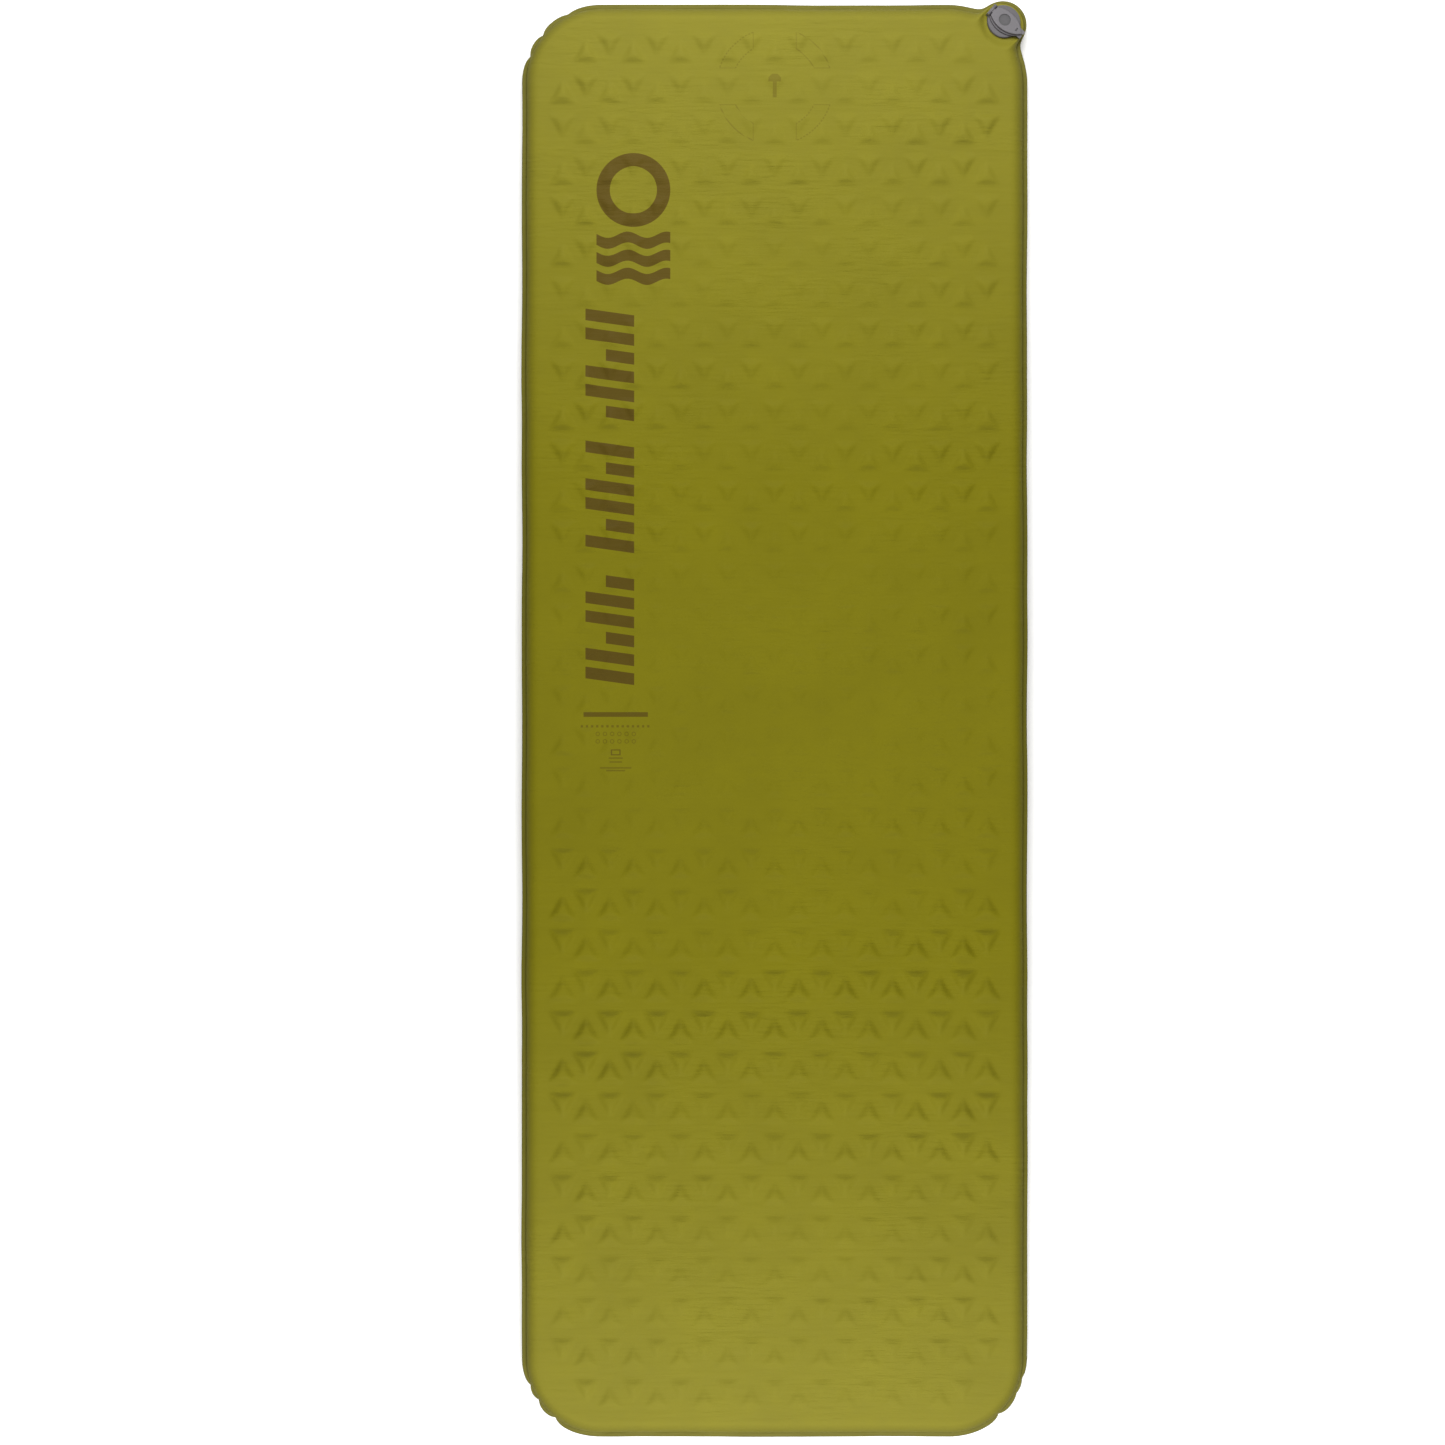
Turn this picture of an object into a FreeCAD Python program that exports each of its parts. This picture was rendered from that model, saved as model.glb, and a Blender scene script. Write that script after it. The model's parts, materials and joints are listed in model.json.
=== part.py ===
"""Self-inflating sleeping pad with a two-stage flat valve, as a parametric document.

The pad lies flat: +Z is up, +Y points to the head end and +X to the right. The origin is the
middle of the flat underside. Two fabric covers meet in a seam at half height and hold a foam
core. The valve stands in a small lobe at the head's right corner and leans outwards.
"""
import FreeCAD, Part
import math
import os
import re
import Sketcher
from FreeCAD import Placement, Rotation, Vector

# ---------------------------------------------------------------- driving sizes, mm and degrees
SIZES = {
    # pad
    "pad_length": 1830,
    "pad_width": 646,
    "pad_thickness": 38,
    "corner_radius": 94,       # of the stuffed body, at the seam
    "edge_flat": 1.5,          # upright strip between the seam and each rounded edge
    "seam_width": 6,           # welded border outside the stuffed body
    "cover_wall": 0.8,
    "bond_gap": 0.3,           # glue line between a cover and the foam
    # holes cut through the foam
    "core_pitch": 60,          # side of the triangles that the holes are centred in
    "core_side_small": 14,
    "core_side_large": 29,
    "core_margin": 12,         # least foam between a hole and the foam's outline
    "relief_margin": 5,        # least foam between a hole and the valve's relief
    # lobe and valve seat
    "lobe_inset": 24,          # lobe centre to the head end of the seam
    "lobe_seam": 4,
    "lobe_clearance": 1.7,     # weld flange to the lobe's wall
    "well_shelf": 7,           # flat fabric between the lobe and the well's wall
    "seat_rise": 7.5,          # fabric under the valve, on its axis, above the seam
    "valve_heading": -40,      # direction of the valve's long axis
    "valve_tilt": 12,          # lean towards the corner
    "valve_shift_across": -1.0,
    "valve_shift_along": 0.8,
    # valve base and weld flange
    "deflate_bore": 11.5,      # socket at the bottom of the neck, for a pump's spigot
    "mouth_step": 0.5,         # how much wider the neck is above the socket
    "socket_gap": 0.2,         # check valve to the socket
    "base_wall": 3,
    "neck_depth": 13,
    "neck_room": 6.5,          # neck's depth below the seat to the lobe's underside
    "neck_clearance": 0.2,
    "bead_reach": 1.3,
    "bead_height": 1.6,
    "flange_thickness": 1.0,
    "weld_width": 9,
    "rim_overhang": 7,
    "rim_height": 4,
    "rim_bevel": 0.8,
    "skirt_slot": 4,
    "skirt_slot_height": 3,
    # flat ring seals
    "seal_inset": 0.8,         # edge of the bore to the seal's groove
    "seal_width": 1.8,
    "seal_depth": 0.8,
    "seal_gap": 0.25,          # how far a seal stands proud
    "seal_fit": 0.05,
    # deflate lid
    "lid_thickness": 2,
    "lid_cover": 0.4,          # lid beyond the seal, on either side of the long axis
    "lid_tip": 6.5,            # tip beyond the rim
    "plug_clearance": 0.4,
    "plug_taper": 1.0,
    "plug_depth": 1,
    "port_radius": 7,
    "port_wall": 1.6,
    "port_depth": 5,
    "port_seat": 6,            # mouth of the port to the shoulder that stops a nozzle
    "port_shoulder": 0.6,
    # inflate cap
    "cap_thickness": 2.8,
    "cap_cover": 2.9,
    "recess_radius": 7.8,
    "recess_depth": 0.9,
    "edge_round": 0.7,
    # hinge and latch
    "hinge_inset": 1,          # pin's axis inside the rim
    "hinge_lift": 0.4,         # barrels above the rim
    "barrel_radius": 2.4,
    "pin_radius": 1.2,
    "pin_clearance": 0.06,
    "knuckle_half": 2.8,       # half length of the middle knuckle
    "knuckle_length": 2.4,
    "knuckle_gap": 0.2,
    "ear_length": 2.6,
    "lid_gap": 0.5,            # lid edge to the hinge barrel
    "latch_inset": 2,          # latch inside the rim
    "latch_thickness": 1.0,
    "latch_half_width": 1.8,
    "latch_height": 2.5,
    "latch_clearance": 0.45,
    "tab_length": 8,
    "tab_overhang": 2,         # tab beyond the lid's tip
    "tab_width": 5,
    "tab_gap": 0.4,            # tab to the long axis
    "tab_thickness": 1.9,
    # check valve
    "insert_height": 2.2,
    "insert_wall": 1.2,
    "spoke_width": 1.4,
    "hub_radius": 2.4,
    "stem_radius": 1.25,
    "stem_clearance": 0.08,
    "flap_inset": 0.5,
    "flap_thickness": 0.7,
    "washer_radius": 2.3,
    "washer_thickness": 0.7,
    "head_radius": 2.8,
    "head_thickness": 1.0,
    "button_rise": 1.9,        # button head above the hub, at rest
}

# ---------------------------------------------------------------- sizes that follow from them
DERIVED = {
    "mid_height": "pad_thickness / 2",
    "seat_height": "mid_height + seat_rise",
    "lobe_floor": "seat_height - neck_depth - neck_room",
    "edge_radius": "mid_height - edge_flat",
    "body_width": "pad_width - 2 * seam_width",
    "body_length": "pad_length - 2 * seam_width",
    "foam_inset": "cover_wall + bond_gap",
    "neck_radius": "deflate_bore + base_wall",
    "mouth_radius": "deflate_bore + mouth_step",
    "neck_hole": "neck_radius + neck_clearance",
    "rim_radius": "neck_radius + rim_overhang",
    "flange_radius": "neck_radius + weld_width",
    "lobe_inner": "flange_radius + lobe_clearance",
    "lobe_outer": "lobe_inner + cover_wall",
    "lobe_radius": "lobe_outer + lobe_seam",
    "well_radius": "lobe_outer + well_shelf",
    "relief_radius": "well_radius + foam_inset",
    "lobe_across": "pad_width / 2 - lobe_radius",
    "lobe_along": "pad_length / 2 - lobe_inset",
    "deflate_seal_in": "mouth_radius + seal_inset",
    "deflate_seal_out": "deflate_seal_in + seal_width",
    "lid_half_width": "deflate_seal_out + lid_cover",
    "lid_level": "rim_height + seal_gap",
    "lid_top": "lid_level + lid_thickness",
    "lid_far": "rim_radius + lid_tip",
    "port_low": "port_radius - port_shoulder",
    "inflate_seal_in": "port_radius + seal_inset",
    "inflate_seal_out": "inflate_seal_in + seal_width",
    "cap_half_width": "inflate_seal_out + cap_cover",
    "cap_level": "lid_top + seal_gap",
    "cap_top": "cap_level + cap_thickness",
    "hinge_reach": "rim_radius - hinge_inset",
    "hinge_height": "rim_height + hinge_lift + barrel_radius",
    "latch_reach": "rim_radius - latch_inset",
    "hinge_side": "hinge_reach - barrel_radius - lid_gap",
    "lens_near": "hinge_reach + 2 * barrel_radius",
    "knuckle_in": "knuckle_half + knuckle_gap",
    "knuckle_out": "knuckle_in + knuckle_length",
    "ear_in": "knuckle_out + knuckle_gap",
    "ear_out": "ear_in + ear_length",
    "hub_top": "insert_height - port_depth",
    "head_bottom": "hub_top + button_rise",
    "flap_bottom": "-(port_depth + flap_thickness)",
    "washer_bottom": "flap_bottom - washer_thickness",
    "socket_top": "washer_bottom - socket_gap",
}
SEAT_BLOCK = 240               # side of the block that stands for the space above the seat

# Where along the pad the foam's holes are large: the middle of each zone and how gently it
# fades, as shares of the pad's length from its middle, and how much it adds to a hole's size.
CORE_ZONES = {"legs": (-0.21, 0.11, 0.75), "shoulders": (0.21, 0.07, 0.3)}
CORE_ENDS = {"head": (0.34, 0.03, 0.35), "feet": (-0.32, -0.03, 0.3)}
CORE_SIDE_BASE = 0.15          # how much the outermost holes grow where no zone helps them
CORE_SIDE_GAIN = 0.75          # and how much of each zone's share they add
CORE_SIDE_POWER = 3            # how late towards the sides that sets in

doc = FreeCAD.newDocument("sleeping_pad")
sheet = doc.addObject("Spreadsheet::Sheet", "sizes")
for row, (alias, size) in enumerate(SIZES.items(), start=1):
    sheet.set(f"A{row}", alias)
    sheet.set(f"B{row}", str(size))
    sheet.setAlias(f"B{row}", alias)
doc.recompute()


# ---------------------------------------------------------------- sizes in expressions
def formula(text):
    """Turn size names into an expression on the sheet, derived names in brackets."""
    def swap(match):
        word = match.group()
        if word in DERIVED:
            return "(" + formula(DERIVED[word]) + ")"
        return "sizes." + word if word in SIZES else word
    return re.sub(r"[a-z][a-z_]*[a-z]", swap, text)


def number(text):
    """The present value of a formula."""
    return float(sheet.evalExpression(formula(text)))


def bind(thing, **formulas):
    """Tie properties to the sheet. In a name, two underscores stand for a dot."""
    for name, text in formulas.items():
        thing.setExpression(name.replace("__", "."), formula(text))
    return thing


# ---------------------------------------------------------------- sketches
def new_sketch(body, name, plane="XY_Plane", level="0"):
    """An empty sketch on one of the body's own origin planes, raised by level."""
    sketch = body.newObject("Sketcher::SketchObject", name)
    support = [item for item in body.Origin.OriginFeatures if item.Role == plane][0]
    sketch.AttachmentSupport = [(support, "")]
    sketch.MapMode = "FlatFace"
    return bind(sketch, AttachmentOffset__Base__z=level)


def pin_point(sketch, item, end, across, along):
    """Hold one point of a sketch at a pair of formulas from the sketch's origin."""
    for kind, text in (("DistanceX", across), ("DistanceY", along)):
        place = sketch.addConstraint(Sketcher.Constraint(kind, -1, 1, item, end, number(text)))
        sketch.setExpression(f"Constraints[{place}]", formula(text))


def pin_radius(sketch, item, radius):
    place = sketch.addConstraint(Sketcher.Constraint("Radius", item, number(radius)))
    sketch.setExpression(f"Constraints[{place}]", formula(radius))


def polygon(sketch, corners):
    """A closed outline with straight sides; corners are pairs of formulas."""
    points = [Vector(number(across), number(along), 0) for across, along in corners]
    for start, end in zip(points, points[1:] + points[:1]):
        sketch.addGeometry(Part.LineSegment(start, end))
    for item, (across, along) in enumerate(corners):
        following = (item + 1) % len(corners)
        sketch.addConstraint(Sketcher.Constraint("Coincident", item, 2, following, 1))
        pin_point(sketch, item, 1, across, along)
    return sketch


def rounded_rectangle(sketch, width, length, radius):
    """Four sides and four tangent corner arcs, centred on the sketch's origin."""
    half_x = f"({width}) / 2"
    half_y = f"({length}) / 2"
    inner_x = f"({half_x} - ({radius}))"
    inner_y = f"({half_y} - ({radius}))"
    turns = ((1, 1), (-1, 1), (-1, -1), (1, -1))
    size = number(radius)
    for quarter, (side_x, side_y) in enumerate(turns):
        centre = Vector(side_x * number(inner_x), side_y * number(inner_y), 0)
        circle = Part.Circle(centre, Vector(0, 0, 1), size)
        start = quarter * math.pi / 2
        arc = sketch.addGeometry(Part.ArcOfCircle(circle, start, start + math.pi / 2))
        sketch.addConstraint(Sketcher.Constraint("Radius", arc, size))
        sketch.setExpression(f"Constraints[{sketch.ConstraintCount - 1}]", formula(radius))
        pin_point(sketch, arc, 3, f"{side_x} * {inner_x}", f"{side_y} * {inner_y}")
    for quarter in range(4):
        following = (quarter + 1) % 4
        start = sketch.getPoint(quarter, 2)
        end = sketch.getPoint(following, 1)
        side = sketch.addGeometry(Part.LineSegment(start, end))
        sketch.addConstraint(Sketcher.Constraint("Tangent", quarter, 2, side, 1))
        sketch.addConstraint(Sketcher.Constraint("Tangent", side, 2, following, 1))
    return sketch


def lens(sketch, near, far, half_width):
    """Two equal arcs between tips on the X axis, half_width apart from it at the middle."""
    reach = (number(far) - number(near)) / 2
    middle = (number(far) + number(near)) / 2
    radius = (reach ** 2 + number(half_width) ** 2) / (2 * number(half_width))
    drop = radius - number(half_width)
    lean = math.atan2(drop, reach)
    span = f"(({far}) - ({near}))"
    bend = f"{span} * {span} / (8 * ({half_width})) + ({half_width}) / 2"
    arcs = []
    for side, start in ((-1, lean), (1, math.pi + lean)):
        circle = Part.Circle(Vector(middle, side * drop, 0), Vector(0, 0, 1), radius)
        arc = Part.ArcOfCircle(circle, start, start + math.pi - 2 * lean)
        arcs.append(sketch.addGeometry(arc))
    upper, lower = arcs
    sketch.addConstraint(Sketcher.Constraint("Coincident", upper, 2, lower, 1))
    sketch.addConstraint(Sketcher.Constraint("Coincident", lower, 2, upper, 1))
    pin_point(sketch, upper, 1, far, "0")
    pin_point(sketch, upper, 2, near, "0")
    pin_radius(sketch, upper, bend)
    pin_radius(sketch, lower, bend)
    return sketch


# ---------------------------------------------------------------- features of a body
def new_body(name):
    return doc.addObject("PartDesign::Body", name)


def pad(body, name, sketch, length):
    feature = body.newObject("PartDesign::Pad", name)
    feature.Profile = sketch
    return bind(feature, Length=length)


def turn(body, name, corners, cut=False):
    """A ring: the outline (radius, height) turned about the body's Z axis."""
    sketch = polygon(new_sketch(body, name + "_outline", "XZ_Plane"), corners)
    kind = "PartDesign::Groove" if cut else "PartDesign::Revolution"
    feature = body.newObject(kind, name)
    feature.Profile = sketch
    feature.ReferenceAxis = (sketch, ["V_Axis"])
    feature.Angle = 360
    return feature


def ring(body, name, inner, outer, low, high, cut=False):
    corners = ((inner, low), (outer, low), (outer, high), (inner, high))
    return turn(body, name, corners, cut)


def block(body, name, across, along, up, cut=False):
    """A box between pairs of formulas (low, high), added or cut."""
    kind = "PartDesign::SubtractiveBox" if cut else "PartDesign::AdditiveBox"
    feature = body.newObject(kind, name)
    bind(feature, Length=f"({across[1]}) - ({across[0]})",
         Width=f"({along[1]}) - ({along[0]})", Height=f"({up[1]}) - ({up[0]})",
         Placement__Base__x=across[0], Placement__Base__y=along[0], Placement__Base__z=up[0])
    return feature


def barrel(body, name, radius, half_length, cut=False):
    """A round bar along Y on the hinge's axis, added or cut."""
    kind = "PartDesign::SubtractiveCylinder" if cut else "PartDesign::AdditiveCylinder"
    feature = body.newObject(kind, name)
    feature.Placement = Placement(Vector(), Rotation(Vector(1, 0, 0), -90))
    bind(feature, Radius=radius, Height=f"2 * ({half_length})",
         Placement__Base__x="-hinge_reach", Placement__Base__y=f"-({half_length})",
         Placement__Base__z="hinge_height")
    return feature


def round_edges(body, name, wanted, radius):
    """Round those edges of the body's last feature that wanted(edge) picks."""
    doc.recompute()
    last = body.Tip
    picked = [f"Edge{place}" for place, edge in enumerate(last.Shape.Edges, start=1)
              if wanted(edge)]
    feature = body.newObject("PartDesign::Fillet", name)
    feature.Base = (last, picked)
    return bind(feature, Radius=radius)


def lies_at(level):
    """A test for edges that lie flat at a height given by a formula."""
    height = number(level)
    return lambda edge: abs(edge.BoundBox.ZMin - height) + abs(edge.BoundBox.ZMax - height) < 1e-4


# ---------------------------------------------------------------- Part objects
def boolean(kind, name, first, second):
    thing = doc.addObject("Part::" + kind, name)
    thing.Base = first
    thing.Tool = second
    return thing


def fuse(name, *shapes):
    thing = doc.addObject("Part::MultiFuse", name)
    thing.Shapes = list(shapes)
    return thing


def lobe_cylinder(name, radius, low, high):
    """An upright cylinder on the lobe's centre between two heights."""
    thing = doc.addObject("Part::Cylinder", name)
    return bind(thing, Radius=radius, Height=f"({high}) - ({low})",
                Placement__Base__x="lobe_across", Placement__Base__y="lobe_along",
                Placement__Base__z=low)


# ---------------------------------------------------------------- where the valve stands
def valve_placement():
    """Seat centre, long axis along the heading, leaning towards the corner."""
    place = Vector(number("lobe_across + valve_shift_across"),
                   number("lobe_along + valve_shift_along"), number("seat_height"))
    heading = Rotation(Vector(0, 0, 1), number("valve_heading"))
    lean = Rotation(Vector(1, 0, 0), -number("valve_tilt"))
    return Placement(place, heading.multiply(lean))


VALVE = valve_placement()


def space_above_seat(name, drop):
    """A block whose underside lies drop below the seat's plane."""
    thing = doc.addObject("Part::Box", name)
    for side in ("Length", "Width", "Height"):
        setattr(thing, side, SEAT_BLOCK)
    corner = Vector(-SEAT_BLOCK / 2, -SEAT_BLOCK / 2, -number(drop))
    thing.Placement = VALVE.multiply(Placement(corner, Rotation()))
    return thing


# ---------------------------------------------------------------- covers and foam
def cushion(name, inset, low, high, rounded):
    """The stuffed body between two heights, inset all round, with its flat edges rounded."""
    body = new_body(name)
    sketch = new_sketch(body, name + "_outline", level=low)
    rounded_rectangle(sketch, f"body_width - 2 * ({inset})", f"body_length - 2 * ({inset})",
                      f"corner_radius - ({inset})")
    pad(body, name + "_pad", sketch, f"({high}) - ({low})")
    tests = [lies_at(level) for level in rounded]
    round_edges(body, name + "_edges", lambda edge: any(test(edge) for test in tests),
                f"edge_radius - ({inset})")
    return body


def seam_plate(name, low, high):
    """The welded border: a plate over the whole outline, which the hollow then opens."""
    body = new_body(name)
    sketch = new_sketch(body, name + "_outline", level=low)
    rounded_rectangle(sketch, "pad_width", "pad_length", "corner_radius + seam_width")
    pad(body, name + "_pad", sketch, f"({high}) - ({low})")
    return body


def top_cover():
    """Upper cover: half the pad, a sloping seat for the valve and the lobe round it."""
    above = space_above_seat("above_seat", "0")
    above_lining = space_above_seat("above_lining", "cover_wall")

    def half(name, inset, roof, well_radius, lobe_radius, space):
        block_body = cushion(name + "_cushion", inset, "mid_height", roof, [roof])
        well = boolean("Common", name + "_well",
                       lobe_cylinder(name + "_well_bar", well_radius, "0", "2 * pad_thickness"),
                       space)
        lobe = boolean("Cut", name + "_lobe",
                       lobe_cylinder(name + "_lobe_bar", lobe_radius, "mid_height",
                                     "2 * pad_thickness"), space)
        return boolean("Cut", name + "_dished", block_body, well), lobe

    outer = fuse("top_outer",
                 *half("outer", "0", "pad_thickness", "well_radius", "lobe_outer", above),
                 seam_plate("top_seam", "mid_height", "mid_height + cover_wall"),
                 lobe_cylinder("top_lobe_seam", "lobe_radius", "mid_height",
                               "mid_height + cover_wall"))
    inner = fuse("top_inner",
                 *half("inner", "cover_wall", "pad_thickness - cover_wall",
                       "well_radius + cover_wall", "lobe_inner", above_lining))
    hole = new_body("neck_hole")
    ring(hole, "neck_hole_ring", "0", "neck_hole", "-pad_thickness / 4", "pad_thickness / 4")
    hole.Placement = VALVE
    return boolean("Cut", "top_cover", boolean("Cut", "top_shell", outer, inner), hole)


def bottom_cover():
    """Lower cover: half the pad and the lobe's flat underside."""
    outer = fuse("bottom_outer",
                 cushion("bottom_outer_cushion", "0", "0", "mid_height", ["0"]),
                 lobe_cylinder("bottom_lobe", "lobe_outer", "lobe_floor", "mid_height"),
                 seam_plate("bottom_seam", "mid_height - cover_wall", "mid_height"),
                 lobe_cylinder("bottom_lobe_seam", "lobe_radius", "mid_height - cover_wall",
                               "mid_height"))
    inner = fuse("bottom_inner",
                 cushion("bottom_inner_cushion", "cover_wall", "cover_wall", "mid_height",
                         ["cover_wall"]),
                 lobe_cylinder("bottom_lobe_inner", "lobe_inner", "lobe_floor + cover_wall",
                               "mid_height"))
    return boolean("Cut", "bottom_cover", outer, inner)


def core_share(across, along):
    """How large a hole is, from 0 to 1: large at the legs, head and sides, small at the hips."""
    place = along / number("pad_length")
    middle = sum(gain * math.exp(-((place - centre) / fade) ** 2)
                 for centre, fade, gain in CORE_ZONES.values())
    middle += sum(gain / (1 + math.exp((centre - place) / fade))
                  for centre, fade, gain in CORE_ENDS.values())
    side = (abs(across) / number("pad_width / 2")) ** CORE_SIDE_POWER
    return min(1.0, middle + (CORE_SIDE_BASE + CORE_SIDE_GAIN * middle) * side)


def room_in_foam(across, along):
    """Distance from a point to the foam's rounded outline, positive inside."""
    radius = number("corner_radius - foam_inset")
    past_x = abs(across) - (number("body_width / 2 - foam_inset") - radius)
    past_y = abs(along) - (number("body_length / 2 - foam_inset") - radius)
    past = math.hypot(max(past_x, 0), max(past_y, 0)) + min(max(past_x, past_y), 0)
    return radius - past


def core_cutters():
    """Triangular bars through the foam, on rows of triangles that point up and down in turn."""
    pitch = number("core_pitch")
    row = pitch * math.sqrt(3) / 2
    small = number("core_side_small")
    large = number("core_side_large")
    margin = number("core_margin")
    lobe = Vector(number("lobe_across"), number("lobe_along"), 0)
    columns = int(number("pad_width") / pitch) + 1
    rows = int(number("pad_length") / 2 / row) + 1
    relief = number("relief_radius + relief_margin")
    height = number("pad_thickness")
    bars = []
    for line in range(-rows, rows):
        for step in range(-columns, columns + 1):
            points_up = (line + step) % 2 == 0
            across = step * pitch / 2
            along = (line + (1 / 3 if points_up else 2 / 3)) * row
            side = small + (large - small) * core_share(across, along)
            corner = side / math.sqrt(3)
            centre = Vector(across, along, 0)
            outside = room_in_foam(across, along) < margin + corner
            near_valve = centre.distanceToPoint(lobe) < relief + corner
            if outside or near_valve:
                continue
            start = 90 if points_up else -90
            turns = [math.radians(start + 120 * k) for k in range(3)]
            tips = [centre + Vector(corner * math.cos(a), corner * math.sin(a), 0)
                    for a in turns]
            wire = Part.makePolygon(tips + tips[:1])
            bars.append(Part.Face(wire).extrude(Vector(0, 0, height)))
    cutters = doc.addObject("Part::Feature", "core_cutters")
    cutters.Shape = Part.makeCompound(bars)
    return cutters


def foam_core():
    """One slab of foam with the triangular holes, cut back round the valve."""
    slab = cushion("foam_slab", "foam_inset", "foam_inset", "pad_thickness - foam_inset",
                   ["foam_inset", "pad_thickness - foam_inset"])
    relieved = boolean("Cut", "foam_relieved", slab,
                       lobe_cylinder("valve_relief", "relief_radius", "0", "pad_thickness"))
    return boolean("Cut", "foam_core", relieved, core_cutters())


# ---------------------------------------------------------------- valve, in its own frame
# The valve's origin is on the fabric, +Z along its axis, +X towards the pull tabs. The hinge's
# axis runs along Y on the -X side.
def valve_weld_flange():
    body = new_body("valve_weld_flange")
    ring(body, "weld_ring", "neck_hole", "flange_radius", "-(cover_wall + flange_thickness)",
         "-cover_wall")
    return body


def valve_base():
    """Neck through the fabric, a bead below the weld flange, a broad rim and two hinge ears."""
    body = new_body("valve_base")
    bead_top = "-(cover_wall + flange_thickness)"
    bead_low = f"{bead_top} - bead_height"
    floor = "rim_height - seal_depth"
    turn(body, "base_ring", (
        ("deflate_bore", "-neck_depth"), ("neck_radius", "-neck_depth"),
        ("neck_radius", bead_low), ("neck_radius + bead_reach", bead_low),
        ("neck_radius + bead_reach", bead_top), ("neck_radius", bead_top),
        ("neck_radius", "0"), ("rim_radius", "0"), ("rim_radius", "rim_height - rim_bevel"),
        ("rim_radius - rim_bevel", "rim_height"), ("deflate_seal_out", "rim_height"),
        ("deflate_seal_out", floor), ("deflate_seal_in", floor),
        ("deflate_seal_in", "rim_height"), ("mouth_radius", "rim_height"),
        ("mouth_radius", "socket_top"), ("deflate_bore", "socket_top")))
    near = ("-(hinge_reach + barrel_radius)", "-(hinge_reach - barrel_radius)")
    block(body, "hinge_lug", near, ("-ear_out", "ear_out"), ("0", "hinge_height"))
    barrel(body, "ear_barrels", "barrel_radius", "ear_out")
    block(body, "ear_gap", ("-(hinge_reach + 2 * barrel_radius)", "-hinge_side"),
          ("-ear_in", "ear_in"), ("rim_height", "hinge_height + 2 * barrel_radius"), cut=True)
    barrel(body, "pin_hole", "pin_radius", "ear_out + 1", cut=True)
    across = ("-(neck_radius + 1)", "neck_radius + 1")
    narrow = ("-skirt_slot / 2", "skirt_slot / 2")
    low = ("-(neck_depth + 1)", "skirt_slot_height - neck_depth")
    block(body, "skirt_slots_long", across, narrow, low, cut=True)
    block(body, "skirt_slots_cross", narrow, across, low, cut=True)
    return body


def hinged_plate(body, level, top, half_width, knuckles):
    """A lens-shaped lid between two heights, its hinge side cut off and its knuckles added.

    knuckles is the half length of the barrel along the hinge's axis.
    """
    sketch = new_sketch(body, body.Name + "_lens", level=level)
    lens(sketch, "-lens_near", "lid_far", half_width)
    pad(body, body.Name + "_plate", sketch, f"({top}) - ({level})")
    round_edges(body, body.Name + "_round", lies_at(top), "edge_round")
    block(body, body.Name + "_hinge_side", ("-(lens_near + 1)", "-hinge_side"),
          ("-lid_half_width", "lid_half_width"), ("0", "cap_top + 1"), cut=True)
    block(body, body.Name + "_web", ("-hinge_reach", "-(hinge_side - 1)"),
          (f"-({knuckles})", knuckles), (f"({level}) + seal_gap", f"({top}) - edge_round"))
    barrel(body, body.Name + "_barrel", "barrel_radius", knuckles)


def pull_tab(body, name, side, low):
    """A small tab past the lid's tip, on one side of the long axis."""
    pair = ("tab_gap", "tab_gap + tab_width")
    along = pair if side > 0 else ("-(tab_gap + tab_width)", "-tab_gap")
    block(body, name, ("lid_far + tab_overhang - tab_length", "lid_far + tab_overhang"), along,
          (low, f"({low}) + tab_thickness"))


def deflate_lid():
    """Lower lid: closes the wide bore and carries the inflation port."""
    body = new_body("deflate_lid")
    hinged_plate(body, "lid_level", "lid_top", "lid_half_width", "knuckle_out")
    middle = "lid_level + lid_thickness / 2"
    plug = "deflate_bore - plug_clearance"
    turn(body, "lid_plug", (
        ("port_low", "-port_depth"), ("port_radius + port_wall", "-port_depth"),
        ("port_radius + port_wall", "-plug_depth"), (f"{plug} - plug_taper", "-plug_depth"),
        (plug, "lid_level"), (plug, middle), ("port_low", middle)))
    ring(body, "port", "0", "port_low", "-(port_depth + 1)", "lid_top + 1", cut=True)
    ring(body, "port_mouth", "0", "port_radius", "lid_top - port_seat", "lid_top + 1", cut=True)
    ring(body, "inflate_groove", "inflate_seal_in", "inflate_seal_out", "lid_top - seal_depth",
         "lid_top + 1", cut=True)
    block(body, "lid_knuckle_gap", ("-(hinge_reach + 2 * barrel_radius)", "-hinge_side"),
          ("-knuckle_in", "knuckle_in"), ("0", "cap_top + 1"), cut=True)
    barrel(body, "lid_pin_hole", "pin_radius + pin_clearance", "knuckle_out + 1", cut=True)
    block(body, "latch", ("latch_reach - latch_thickness / 2", "latch_reach + latch_thickness / 2"),
          ("-latch_half_width", "latch_half_width"), ("lid_top - edge_round",
                                                      "lid_top + latch_height"))
    pull_tab(body, "lid_tab", -1, "lid_level")
    return body


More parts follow.
